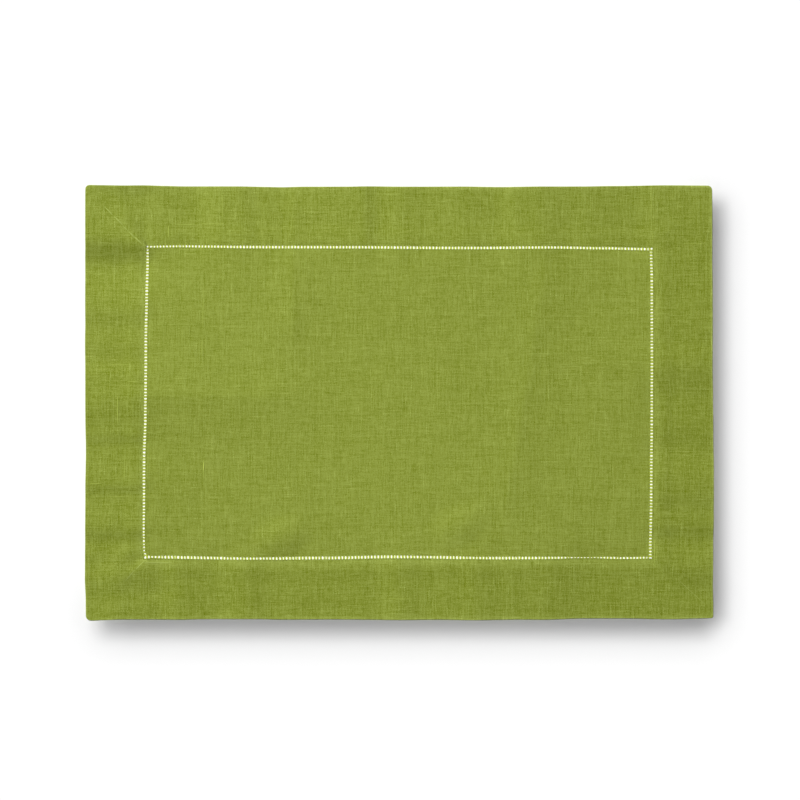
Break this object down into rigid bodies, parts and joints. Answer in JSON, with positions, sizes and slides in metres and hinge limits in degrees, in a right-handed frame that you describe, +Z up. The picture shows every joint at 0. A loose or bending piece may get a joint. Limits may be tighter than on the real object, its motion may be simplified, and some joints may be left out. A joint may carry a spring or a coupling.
{
  "type": "hemstitched linen placemat",
  "caption": "Flat rectangular linen table mat with a wide mitred hem and a ladder hemstitch row around its centre panel, laid flat for a place setting.",
  "frame": {"origin": "centre of the mat's outline on the table's surface, under the mat", "axes": "+X along the long side, +Y away from the person at the table, +Z up through the thickness"},
  "size_m": [0.509, 0.3526, 0.0026],
  "materials": {
    "linen": "matt green plain-weave linen with slubs"
  },
  "bodies": {
    "root": {"linen_mat": "linen"}
  },
  "joints": []
}
